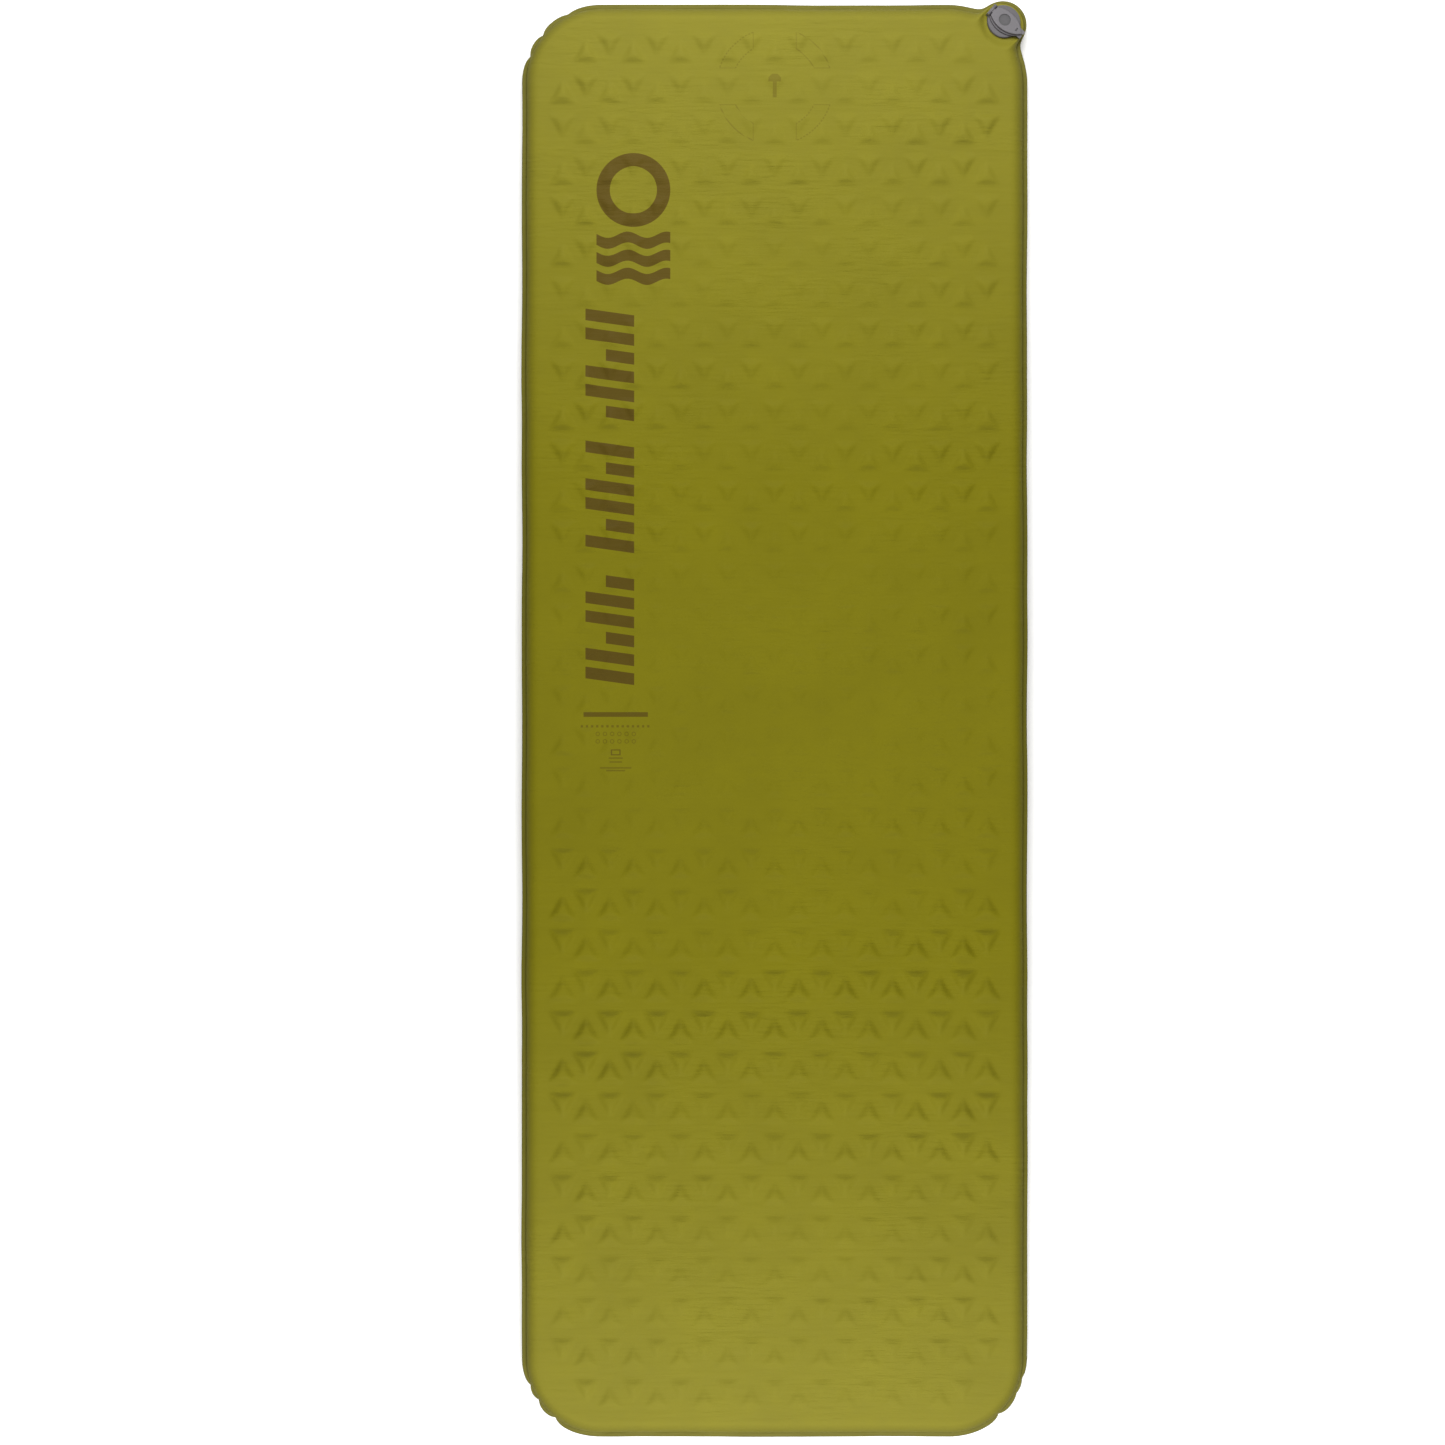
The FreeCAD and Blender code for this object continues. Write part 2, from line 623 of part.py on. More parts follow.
def inflate_cap():
    """Upper lid: closes the inflation port on a flat seal, with a finger recess on top."""
    body = new_body("inflate_cap")
    hinged_plate(body, "cap_level", "cap_top", "cap_half_width", "knuckle_half")
    ring(body, "finger_recess", "0", "recess_radius", "cap_top - recess_depth", "cap_top + 1",
         cut=True)
    half = "(latch_thickness / 2 + latch_clearance)"
    width = "(latch_half_width + latch_clearance)"
    block(body, "latch_slot", (f"latch_reach - {half}", f"latch_reach + {half}"),
          (f"-{width}", width), ("cap_level - 1", "cap_top + 1"), cut=True)
    barrel(body, "cap_pin_hole", "pin_radius + pin_clearance", "knuckle_half + 1", cut=True)
    pull_tab(body, "cap_tab", 1, "cap_level")
    return body


def hinge_pin():
    body = new_body("hinge_pin")
    barrel(body, "pin", "pin_radius", "ear_out")
    return body


def seal(name, inner, outer, top):
    """A flat ring in its groove, standing proud by the seal gap."""
    body = new_body(name)
    ring(body, name + "_ring", f"{inner} + seal_fit", f"{outer} - seal_fit",
         f"{top} - seal_depth", f"{top} + seal_gap")
    return body


def check_insert():
    """Spoked seat pressed into the bottom of the port, with a hub for the button's stem."""
    body = new_body("check_insert")
    half = "spoke_width / 2"
    spoke = block(body, "spoke", ("0", "port_low - insert_wall / 2"), (f"-{half}", half),
                  ("-port_depth", "hub_top"))
    doc.recompute()
    axis = [item for item in body.Origin.OriginFeatures if item.Role == "Z_Axis"][0]
    spokes = body.newObject("PartDesign::PolarPattern", "spokes")
    spokes.Originals = [spoke]
    spokes.Axis = (axis, [""])
    spokes.Angle = 360
    spokes.Occurrences = 3
    body.Tip = spokes
    ring(body, "insert_rim", "port_low - insert_wall", "port_low", "-port_depth", "hub_top")
    ring(body, "insert_hub", "0", "hub_radius", "-port_depth", "hub_top")
    ring(body, "stem_hole", "0", "stem_radius + stem_clearance", "-(port_depth + 1)",
         "hub_top + 1", cut=True)
    return body


def check_flap():
    body = new_body("check_flap")
    ring(body, "flap_disc", "stem_radius", "port_low - flap_inset", "flap_bottom",
         "-port_depth")
    return body


def flap_washer():
    body = new_body("flap_washer")
    ring(body, "washer_disc", "stem_radius", "washer_radius", "washer_bottom", "flap_bottom")
    return body


def release_button():
    """Head in the port and a stem through the hub, the flap and the washer."""
    body = new_body("release_button")
    top = "head_bottom + head_thickness"
    turn(body, "button", (
        ("0", "washer_bottom"), ("stem_radius", "washer_bottom"), ("stem_radius", "head_bottom"),
        ("head_radius", "head_bottom"), ("head_radius", f"{top} - head_thickness / 3"),
        ("head_radius - head_thickness / 3", top), ("0", top)))
    return body


# ---------------------------------------------------------------- build, check and write
PAD_PIECES = [top_cover(), bottom_cover(), foam_core()]
VALVE_PIECES = [
    valve_weld_flange(), valve_base(), hinge_pin(), deflate_lid(), inflate_cap(),
    seal("deflate_seal", "deflate_seal_in", "deflate_seal_out", "rim_height"),
    seal("inflate_seal", "inflate_seal_in", "inflate_seal_out", "lid_top"),
    check_insert(), check_flap(), flap_washer(), release_button(),
]
for piece in VALVE_PIECES:
    piece.Placement = VALVE
doc.recompute()

for thing in doc.Objects:
    if "Invalid" in thing.State or "Error" in thing.State:
        raise RuntimeError(f"{thing.Name} failed: {thing.State}")
os.makedirs("parts", exist_ok=True)
for piece in PAD_PIECES + VALVE_PIECES:
    piece.Label = piece.Name
    shape = piece.Shape
    if shape.isNull() or not shape.isValid() or not shape.Solids:
        raise RuntimeError(f"{piece.Label} has no valid solid")
    shape.exportStep(f"parts/{piece.Label}.step")
    box = shape.BoundBox
    print(f"{piece.Label:18s} solids {len(shape.Solids)} volume {shape.Volume:12.1f} "
          f"x {box.XMin:8.2f} {box.XMax:8.2f} y {box.YMin:8.2f} {box.YMax:8.2f} "
          f"z {box.ZMin:6.2f} {box.ZMax:6.2f}")
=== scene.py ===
"""Self-inflating sleeping pad: fabric covers, print, plastics and stage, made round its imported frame.

Everything is in metres in the frame's own axes: +Z up, +Y to the head end, +X to the right. Each
cover is one grid wrapped over the pad's rounded body. The grid's two numbers are distances on the
fabric, so its lines run in over the welded border, up the rounded edge and on over the flat face.
"""
import json
import math

import bpy
import numpy as np
from bpy.props import FloatProperty, FloatVectorProperty, PointerProperty
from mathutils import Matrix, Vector


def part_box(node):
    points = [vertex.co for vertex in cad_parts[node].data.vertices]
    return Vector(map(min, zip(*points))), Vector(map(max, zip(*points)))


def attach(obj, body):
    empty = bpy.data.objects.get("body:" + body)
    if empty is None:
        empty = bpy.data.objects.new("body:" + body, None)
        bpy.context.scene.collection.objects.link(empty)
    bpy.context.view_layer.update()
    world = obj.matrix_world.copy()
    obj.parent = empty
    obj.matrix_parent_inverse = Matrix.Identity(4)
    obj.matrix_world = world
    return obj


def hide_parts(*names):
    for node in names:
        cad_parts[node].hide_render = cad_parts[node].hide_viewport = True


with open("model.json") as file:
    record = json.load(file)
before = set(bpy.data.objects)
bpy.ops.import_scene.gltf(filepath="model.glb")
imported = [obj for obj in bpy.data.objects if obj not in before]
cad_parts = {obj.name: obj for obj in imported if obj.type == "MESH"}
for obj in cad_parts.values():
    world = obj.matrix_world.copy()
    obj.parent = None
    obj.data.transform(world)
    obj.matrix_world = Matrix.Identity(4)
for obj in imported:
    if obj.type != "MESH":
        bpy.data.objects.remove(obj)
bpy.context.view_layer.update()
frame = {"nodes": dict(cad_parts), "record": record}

bl_info = {
    "name": "Sleeping Pad",
    "version": (1, 0, 0),
    "blender": (4, 5, 0),
    "location": "View3D > Sidebar > Pad",
    "description": "Makes the covers, print, finishes and stage of a self-inflating sleeping pad",
    "category": "Object",
}

MM = 0.001

# ---------------------------------------------------------------- measures from the frame
FACE_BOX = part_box("top_cover")
HALF_WIDTH = FACE_BOX[1].x                      # to the outside of the welded border
HALF_LENGTH = -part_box("bottom_cover")[0].y
SEAM_LEVEL = FACE_BOX[0].z                      # where the two covers meet
FACE_LEVEL = FACE_BOX[1].z                      # the flat sleeping face
LOBE_RADIUS = 30 * MM
LOBE = np.array([HALF_WIDTH - LOBE_RADIUS, FACE_BOX[1].y - LOBE_RADIUS])

MOUNTS = {mount["name"]: mount for mount in frame["record"]["mounts"]}
PORT_MIDDLE = 3.25 * MM                         # middle of the pump port above the seat
VALVE_UP = Vector(MOUNTS["pump_port"]["axis"])
VALVE_SEAT = Vector(MOUNTS["pump_port"]["pos_m"]) - PORT_MIDDLE * VALVE_UP

# ---------------------------------------------------------------- the covers' shape
BORDER = 6 * MM                 # welded border
EDGE_UPRIGHT = 1.5 * MM         # upright strip above the border
EDGE_RADIUS = FACE_LEVEL - SEAM_LEVEL - EDGE_UPRIGHT
CORNER_RADIUS = 100 * MM        # of the outline
WELD_THICKNESS = 0.45 * MM      # half the welded border
EDGE_ARC = EDGE_UPRIGHT + EDGE_RADIUS * math.pi / 2
SLACK = EDGE_ARC - EDGE_RADIUS  # fabric that the rounded edge takes up
WELD_ROUNDING = 0.7 * MM        # way in over which the welded border reaches its thickness
THINNEST_BORDER = 0.6 * MM      # of the border where a pucker bites into it
BORDER_LINES = np.array([0, 0.25, 0.7, 1.5, 3.0, 4.4, 5.5, 6.0, 6.7, 8.0]) * MM  # ways in
FACE_BLEND = 22 * MM            # way over which the bulges and waves fade in from the edge
FACE_START = 0.8 * EDGE_ARC     # way in from the border at which they begin

LOBE_BORDER = 4 * MM            # welded border round the valve's lobe
LOBE_WALL = 3 * MM              # how far in the lobe's wall leans
LOBE_SOFTNESS = 15 * MM         # of the outline's turn out of the corner's arc into the lobe
LOBE_TUCK = 1.5 * MM            # lobe's outline inside its circle
LOBE_FILLET = 3 * MM
LOBE_SHARE = 22 * MM            # outline past the corner's arc where border and wall are the lobe's
LOBE_FLOOR = 7 * MM             # underside of the lobe above the floor
LOBE_RAMP_START = 24 * MM       # where the underside starts to rise, inside the corner's arc
LOBE_RAMP = 18 * MM
LOBE_FADE = 12 * MM             # how far outside the lobe's circle its raised underside ends
WELL_RADIUS = 25 * MM           # flat seat round the valve, about the lobe's centre
WELL_SLOPE = 9 * MM             # width of the slope up to the sleeping face
NECK_OPENING = 17 * MM          # radius of the hole for the valve's neck
RECESS_RADIUS = 7.7 * MM        # finger recess in the upper lid
RECESS_FLOOR = 8.2 * MM         # above the seat; below it the lid has no painted shade

CORE_PITCH = 60 * MM            # side of the triangles that the foam's holes are centred in
CORE_ROW = CORE_PITCH * math.sqrt(3) / 2
FOAM_INSET = 1.1 * MM           # foam's outline inside the welded border
HOLE_SIDE = 25 * MM             # side of the smallest bulge's triangle
HOLE_GROWTH = 7 * MM            # how much longer the largest one's is
BULGE_SPREAD = 4 * MM           # where a bulge begins, outside its triangle
BULGE_SLOPE = 10 * MM           # width over which it rises
BULGE_ROUNDING = 2.2 * MM       # of its corners
BULGE_UNEVENNESS = 0.22         # share by which heights differ
EDGE_CLEARANCE = 12 * MM        # least distance from a bulge's corner to the foam's outline
VALVE_CLEARANCE = 39 * MM       # and to the lobe's centre
BULGE_BELLS = (                 # height, place and width along the pad, as shares of its length
    (0.75, -0.21, 0.11),        # legs
    (0.35, 0.19, 0.06),         # shoulders
)
BULGE_STEPS = (                 # the same, for steps; the second one rises the other way
    (0.28, 0.34, 0.03),         # head end
    (0.10, -0.32, -0.03),       # foot end
)
SIDE_GAIN = (0.45, 0.7)         # how much more at the sides: plain, and by the share in the middle

SIDEWAYS_WAVE = (0.7 * MM, 110 * MM, 3)     # of the border: height, length and seed
UPRIGHT_WAVE = (0.9 * MM, 34 * MM, 5)
WAVE_FADE = 20 * MM             # way in from the border over which the sideways wave ends
CALM_ROUND_LOBE = 40 * MM       # no waves up to here from the lobe's centre, full at twice that
FACE_WAVES = (                  # height, length across, length along, seed
    (0.35 * MM, 150 * MM, 95 * MM, 11),
    (0.10 * MM, 85 * MM, 9 * MM, 12),
    (0.05 * MM, 46 * MM, 5 * MM, 13),
)
PUCKERS = {                     # by corner: degrees round from the side, depth in millimetres
    (-1, 1): ((21, 5.0), (40, 5.2), (65, 3.0)),
    (-1, -1): ((21, 4.5), (34, 5.2), (53, 5.4)),
    (1, -1): ((15, 3.2), (27, 2.6), (48, 5.2)),
}
PUCKER_WIDTH = 4.5              # degrees over which a pucker falls off
CORNER_STEPS = 1441             # angles between which a corner's length is summed


def ease(value):
    """0 below 0, 1 above 1, and 3 t squared minus 2 t cubed between."""
    t = np.clip(value, 0, 1)
    return t * t * (3 - 2 * t)


def soft_noise(x, y, cell_x, cell_y, seed):
    """Random heights from -1 to 1 at the corners of cells, eased across each cell."""
    random = np.random.default_rng(seed)
    across, along = x / cell_x, y / cell_y
    first_x, first_y = int(np.floor(across.min())), int(np.floor(along.min()))
    size = (int(along.max()) - first_y + 3, int(across.max()) - first_x + 3)
    corners = random.uniform(-1, 1, size)
    column, row = np.floor(across).astype(int), np.floor(along).astype(int)
    part_x, part_y = ease(across - column), ease(along - row)
    column, row = column - first_x, row - first_y
    near = corners[row, column] * (1 - part_x) + corners[row, column + 1] * part_x
    far = corners[row + 1, column] * (1 - part_x) + corners[row + 1, column + 1] * part_x
    return near * (1 - part_y) + far * part_y


def fabric_lines(half, spacing):
    """Distances on the fabric from -half to half: close together on the border, even elsewhere."""
    inner = half - BORDER_LINES[-1]
    count = int(round(2 * inner / spacing)) + 1
    middle = np.linspace(-inner, inner, count)
    return np.concatenate([BORDER_LINES[:-1] - half, middle, half - BORDER_LINES[-2::-1]])


def edge_profile(way):
    """How far in and how far up a point is, at a distance on the fabric from the outline.

    Flat over the border, straight up a short strip, a quarter circle, and then flat again. The
    second value is the share of the whole rise.
    """
    turn = np.clip((way - BORDER - EDGE_UPRIGHT) / EDGE_RADIUS, 0, math.pi / 2)
    inset = (np.minimum(way, BORDER) + EDGE_RADIUS * (1 - np.cos(turn))
             + np.maximum(way - BORDER - EDGE_ARC, 0))
    climb = np.clip(way - BORDER, 0, EDGE_UPRIGHT) + EDGE_RADIUS * np.sin(turn)
    return inset, climb / (EDGE_UPRIGHT + EDGE_RADIUS)


def corner_outline(turn, side_x, side_y):
    """Outline, border and wall widths round one corner, at angles from the X direction.

    Plain corners are an arc with sharp notches, each falling off exponentially to both sides. At
    the valve the outline is the further crossing of the ray with the lobe's circle, softened
    where the ray only just misses it, and joined to the arc by a soft maximum.
    """
    outline = np.full_like(turn, CORNER_RADIUS)
    border = np.full_like(turn, BORDER)
    wall = np.full_like(turn, EDGE_RADIUS)
    for angle, depth in PUCKERS.get((side_x, side_y), ()):
        bite = depth * MM * np.exp(-np.abs(np.degrees(turn) - angle) / PUCKER_WIDTH)
        outline -= bite
        border -= bite
    if (side_x, side_y) == (1, 1):
        centre = LOBE - [HALF_WIDTH - CORNER_RADIUS, HALF_LENGTH - CORNER_RADIUS]
        toward = centre[0] * np.cos(turn) + centre[1] * np.sin(turn)
        inside = toward ** 2 - centre @ centre + LOBE_RADIUS ** 2
        inside = (inside + np.hypot(inside, LOBE_SOFTNESS ** 2)) / 2
        reach = toward + np.sqrt(inside) - CORNER_RADIUS - LOBE_TUCK
        outline += LOBE_FILLET * np.logaddexp(0, reach / LOBE_FILLET)
        share = ease((outline - CORNER_RADIUS) / LOBE_SHARE)
        border += (LOBE_BORDER - BORDER) * share
        wall += (LOBE_WALL - EDGE_RADIUS) * share
    return outline, np.maximum(border, THINNEST_BORDER), wall


def even_turns(share, side_x, side_y):
    """Angles that spread a corner's lines evenly along its outline.

    The share runs from 0 to 90 degrees as the lines do on a plain arc. The outline's own length
    is summed up from short chords, and the angle is read off where that length has the share.
    """
    angles = np.linspace(0, math.pi / 2, CORNER_STEPS)
    outline = corner_outline(angles, side_x, side_y)[0]
    chords = np.hypot(np.diff(outline * np.cos(angles)), np.diff(outline * np.sin(angles)))
    length = np.concatenate([[0], np.cumsum(chords)])
    return np.interp(share / (math.pi / 2) * length[-1], length, angles)


def wrap(spacing):
    """Places of a cover's grid seen from above, with their way in from the outline.

    Along the sides the grid is straight. In each corner block the square rings become quarter
    circles: the ring is the larger of the two distances, and the angle their ratio times 45
    degrees. Returns x, y, the way on the fabric and the share of the rise.
    """
    half_x, half_y = HALF_WIDTH + SLACK, HALF_LENGTH + SLACK
    block = CORNER_RADIUS + SLACK
    across, along = np.meshgrid(fabric_lines(half_x, spacing), fabric_lines(half_y, spacing))
    past_x = np.abs(across) - (half_x - block)
    past_y = np.abs(along) - (half_y - block)
    way_x, way_y = half_x - np.abs(across), half_y - np.abs(along)
    way = np.minimum(way_x, way_y)
    side_x, side_y = np.sign(across), np.sign(along)
    x = np.where(past_x > 0, side_x * (HALF_WIDTH - edge_profile(way_x)[0]), across)
    y = np.where(past_y > 0, side_y * (HALF_LENGTH - edge_profile(way_y)[0]), along)
    for corner_x in (-1, 1):
        for corner_y in (-1, 1):
            here = (past_x > 0) & (past_y > 0) & (side_x == corner_x) & (side_y == corner_y)
            a, b = past_x[here], past_y[here]
            ratio = np.minimum(a, b) / np.maximum(a, b) * math.pi / 4
            turn = even_turns(np.where(a >= b, ratio, math.pi / 2 - ratio), corner_x, corner_y)
            outline, border, wall = corner_outline(turn, corner_x, corner_y)
            inset = edge_profile(block - np.maximum(a, b))[0]
            rest = CORNER_RADIUS - BORDER - EDGE_RADIUS
            moved = (border * np.clip(inset / BORDER, 0, 1)
                     + wall * np.clip((inset - BORDER) / EDGE_RADIUS, 0, 1)
                     + (outline - border - wall)
                     * np.clip((inset - BORDER - EDGE_RADIUS) / rest, 0, 1))
            radius = outline - moved
            x[here] = corner_x * (HALF_WIDTH - CORNER_RADIUS + radius * np.cos(turn))
            y[here] = corner_y * (HALF_LENGTH - CORNER_RADIUS + radius * np.sin(turn))
            way[here] = block - np.maximum(a, b)
    return x, y, way, edge_profile(way)[1]


def seam_wander(x, y, way):
    """Small sideways and upright waves of the welded border, the same on both covers.

    Two smooth noises that fade out from the border towards the face.
    """
    to_lobe = np.hypot(x - LOBE[0], y - LOBE[1])
    clear_of_lobe = ease((to_lobe - CALM_ROUND_LOBE) / CALM_ROUND_LOBE)
    sideways, upright = (
        height * soft_noise(x + y, y - x, length, length, seed) * clear_of_lobe
        for height, length, seed in (SIDEWAYS_WAVE, UPRIGHT_WAVE))
    fade = 1 - ease((way - BORDER) / WAVE_FADE)
    border_only = 1 - ease((way - 0.5 * BORDER) / BORDER)
    return sideways * fade, upright * border_only


# ---------------------------------------------------------------- raised triangles
def core_share(x, y):
    """How large and high a bulge is, from 0 to 1.

    A bell over the legs and one at the shoulders, a soft step up at both ends, and more again
    towards the sides by the cube of the distance from the middle.
    """
    place = y / (2 * HALF_LENGTH)
    middle = sum(height * np.exp(-((place - spot) / width) ** 2)
                 for height, spot, width in BULGE_BELLS)
    middle = middle + sum(height / (1 + np.exp((spot - place) / width))
                          for height, spot, width in BULGE_STEPS)
    side = np.abs(x / HALF_WIDTH) ** 3
    return np.minimum(1, middle + (SIDE_GAIN[0] + SIDE_GAIN[1] * middle) * side)


def room_in_foam(x, y):
    """Distance from a point to the foam's rounded outline, positive inside."""
    inset = BORDER + FOAM_INSET
    radius = CORNER_RADIUS - inset
    past_x = np.abs(x) - (HALF_WIDTH - inset - radius)
    past_y = np.abs(y) - (HALF_LENGTH - inset - radius)
    past = np.hypot(np.maximum(past_x, 0), np.maximum(past_y, 0))
    return radius - past - np.minimum(np.maximum(past_x, past_y), 0)


def triangle_bulges(x, y, low, high):
    """Height of the fabric over the foam's triangular holes.

    The face is tiled with triangles that point up and down in turn, one hole in the middle of
    each. In a tile the height falls, eased, with the largest of three distances: how far a point
    is from the tile's middle towards each side. A soft maximum of the three rounds the corners.
    """
    half = CORE_PITCH / 2
    line = np.floor(y / CORE_ROW)
    part = y / CORE_ROW - line
    step = x / half
    odd = np.mod(line, 2)
    up_step = 2 * np.round((step - odd) / 2) + odd
    down_step = 2 * np.round((step - 1 + odd) / 2) + 1 - odd
    up = np.abs(step - up_step) < 1 - part
    centre_x = np.where(up, up_step, down_step) * half
    centre_y = (line + np.where(up, 1 / 3, 2 / 3)) * CORE_ROW
    share = core_share(centre_x, centre_y)
    side = HOLE_SIDE + HOLE_GROWTH * share
    dx, dy = x - centre_x, np.where(up, 1, -1) * (y - centre_y)
    slant = math.sqrt(3) / 2
    sides = [np.exp(d / BULGE_ROUNDING) for d in (-dy, slant * dx + dy / 2, dy / 2 - slant * dx)]
    distance = BULGE_ROUNDING * np.log(sum(sides))
    rise = ease((side / math.sqrt(12) + BULGE_SPREAD - distance) / BULGE_SLOPE)
    corner = side / math.sqrt(3)
    to_valve = np.hypot(centre_x - LOBE[0], centre_y - LOBE[1])
    there = ((room_in_foam(centre_x, centre_y) > EDGE_CLEARANCE + corner)
             & (to_valve > VALVE_CLEARANCE + corner))
    uneven = 1 + BULGE_UNEVENNESS * np.sin(centre_x * 531 + centre_y * 877)
    return np.where(there, rise * (low + (high - low) * share) * uneven, 0)


def face_waves(x, y):
    """Long low waves and fine creases across the pad: noises stretched along X."""
    return sum(height * soft_noise(x, y, across, along, seed)
               for height, across, along, seed in FACE_WAVES)


def seat_height(x, y):
    """The flat fabric under the valve: the plane square to the valve's axis."""
    lean = (x - VALVE_SEAT.x) * VALVE_UP.x + (y - VALVE_SEAT.y) * VALVE_UP.y
    return VALVE_SEAT.z - lean / VALVE_UP.z


def weld_level(way, side):
    """The welded border's surface: from the seam, up or down by a square root of the way in."""
    return SEAM_LEVEL + side * WELD_THICKNESS * np.sqrt(np.clip(way / WELD_ROUNDING, 0, 1))


# ---------------------------------------------------------------- meshes
def grid_piece(name, points, keep, upward):
    """An object from a grid of points, with the faces where keep is true, facing up or down."""
    rows, columns = points.shape[:2]
    index = np.arange(rows * columns).reshape(rows, columns)
    quads = np.stack([index[:-1, :-1], index[:-1, 1:], index[1:, 1:], index[1:, :-1]], axis=-1)
    quads = quads[keep] if upward else quads[keep][:, ::-1]
    used, quads = np.unique(quads, return_inverse=True)
    mesh = bpy.data.meshes.new(name)
    mesh.vertices.add(len(used))
    mesh.vertices.foreach_set("co", points.reshape(-1, 3)[used].astype(np.float32).ravel())
    mesh.loops.add(quads.size)
    mesh.loops.foreach_set("vertex_index", quads.ravel().astype(np.int32))
    mesh.polygons.add(quads.size // 4)
    mesh.polygons.foreach_set("loop_start", np.arange(0, quads.size, 4, dtype=np.int32))
    mesh.update(calc_edges=True)
    mesh.shade_smooth()
    piece = bpy.data.objects.new(name, mesh)
    bpy.context.scene.collection.objects.link(piece)
    return piece, used


def keep_way(piece, way, used):
    """Store each point's way in from the outline on the mesh, for the border's finish."""
    attribute = piece.data.attributes.new("way_in", "FLOAT", "POINT")
    attribute.data.foreach_set("value", way.ravel()[used].astype(np.float32))


def face_centres(values):
    """The mean of each face's four corners."""
    return (values[:-1, :-1] + values[1:, :-1] + values[:-1, 1:] + values[1:, 1:]) / 4


# ---------------------------------------------------------------- shader sums
class Term:
    """A node's output in a sum: each operator adds the Math node that works it out."""

    def __init__(self, paint, socket):
        self.paint = paint
        self.socket = socket

    def math(self, operation, *terms):
        return self.paint.node("ShaderNodeMath", {"operation": operation}, *terms)

    def __add__(self, other):
        return self.math("ADD", self, other)

    def __sub__(self, other):
        return self.math("SUBTRACT", self, other)

    def __rsub__(self, other):
        return self.math("SUBTRACT", other, self)

    def __mul__(self, other):
        return self.math("MULTIPLY", self, other)

    def __truediv__(self, other):
        return self.math("DIVIDE", self, other)

    def __rtruediv__(self, other):
        return self.math("DIVIDE", other, self)

    def __pow__(self, other):
        return self.math("POWER", self, other)

    def __lt__(self, other):
        return self.math("LESS_THAN", self, other)

    def __gt__(self, other):
        return self.math("GREATER_THAN", self, other)

    def __or__(self, other):
        return self.math("MAXIMUM", self, other)

    def __and__(self, other):
        return self.math("MINIMUM", self, other)

    def __abs__(self):
        return self.math("ABSOLUTE", self)

    def __mod__(self, other):
        return self.math("FLOORED_MODULO", self, other)

    __radd__ = __add__
    __rmul__ = __mul__

    def sine(self):
        return self.math("SINE", self)

    def whole(self):
        return self.math("FLOOR", self)

    def clip(self):
        return self.math("MINIMUM", self.math("MAXIMUM", self, 0.0), 1.0)


class Paint:
    """A material and the few ways its nodes are made."""

    def __init__(self, name):
        self.material = bpy.data.materials.new(name)
        self.material.use_nodes = True
        self.tree = self.material.node_tree
        self.tree.nodes.clear()
        self.place = self.node("ShaderNodeTexCoord", {"output": "Object"})

    def node(self, kind, settings, *inputs, **named):
        """Add a node: its settings, then its inputs in order or by name, spaces as underscores.

        The setting output picks which of its outputs is returned.
        """
        node = self.tree.nodes.new(kind)
        output = settings.get("output", 0)
        for name, value in settings.items():
            if name != "output":
                setattr(node, name, value)
        for name, value in [*enumerate(inputs), *named.items()]:
            socket = node.inputs[name.replace("_", " ") if isinstance(name, str) else name]
            if isinstance(value, Term):
                self.tree.links.new(value.socket, socket)
            elif value is not None:
                socket.default_value = value
        return Term(self, node.outputs[output]) if node.outputs else None

    def mix(self, share, first, second, blend="MIX"):
        """One colour over another, or multiplied by it."""
        settings = {"data_type": "RGBA", "blend_type": blend, "output": 2}
        inputs = [share, None, None, None, None, None]
        return self.node("ShaderNodeMix", settings, *inputs, as_colour(first), as_colour(second))

    def tint(self, colour, tone):
        """A colour made lighter or darker by a number."""
        shade = self.node("ShaderNodeCombineColor", {}, tone, tone, tone)
        return self.mix(1.0, colour, shade, "MULTIPLY")

    def parts(self, vector):
        """The three numbers of a vector."""
        return [self.node("ShaderNodeSeparateXYZ", {"output": k}, vector) for k in range(3)]

    def noise(self, size, stretch=(1, 1, 1), detail=3.0, roughness=0.55):
        """Noise from 0 to 1 with lumps of about a size in metres, longer where stretch is more."""
        scale = [1 / (size * s) for s in stretch]
        place = self.node("ShaderNodeMapping", {}, self.place, Scale=scale)
        return self.node("ShaderNodeTexNoise", {}, place, Scale=1.0, Detail=detail,
                         Roughness=roughness)

    def bump(self, height, distance, strength, below=None):
        """A Bump node; below is another one that it adds to."""
        return self.node("ShaderNodeBump", {}, Strength=strength, Distance=distance,
                         Height=height, Normal=below)

    def finish(self, **inputs):
        """The shader and the material's output."""
        shader = self.node("ShaderNodeBsdfPrincipled", {}, **inputs)
        self.node("ShaderNodeOutputMaterial", {}, Surface=shader)
        return self.material


def as_colour(value):
    """A colour's link as it is, or its three numbers with an alpha of 1."""
    return value if isinstance(value, Term) else (*value[:3], 1.0)


